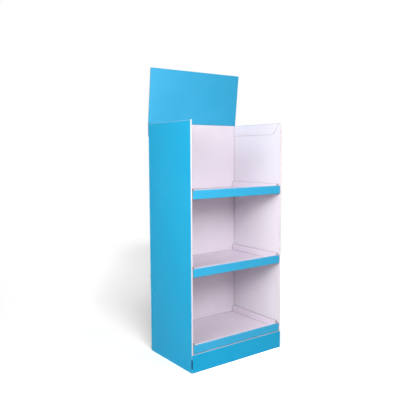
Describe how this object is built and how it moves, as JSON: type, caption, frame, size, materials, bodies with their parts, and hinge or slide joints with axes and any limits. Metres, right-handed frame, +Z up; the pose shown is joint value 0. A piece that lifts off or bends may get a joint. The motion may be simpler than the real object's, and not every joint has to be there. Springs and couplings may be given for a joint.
{
  "type": "cardboard display stand",
  "caption": "Free-standing floor display of folded, printed corrugated board with open shelf trays, a low plinth and a header card.",
  "frame": {"origin": "middle of the footprint, on the floor", "axes": "+Z up, the open front faces -Y, +X to the right as seen from the front"},
  "size_m": [0.55, 0.362, 1.399],
  "materials": {
    "printed_board": "satin",
    "pad_foam": "matte",
    "steel_tube": "satin"
  },
  "bodies": {
    "root": {"body_wrap": "printed_board", "header_card": "printed_board", "bottom_tray": "printed_board", "middle_tray": "printed_board", "top_tray": "printed_board", "header_pads": "pad_foam", "bottom_front_bar": "steel_tube", "bottom_rear_bar": "steel_tube", "middle_front_bar": "steel_tube", "middle_rear_bar": "steel_tube", "top_front_bar": "steel_tube", "top_rear_bar": "steel_tube"}
  },
  "joints": []
}
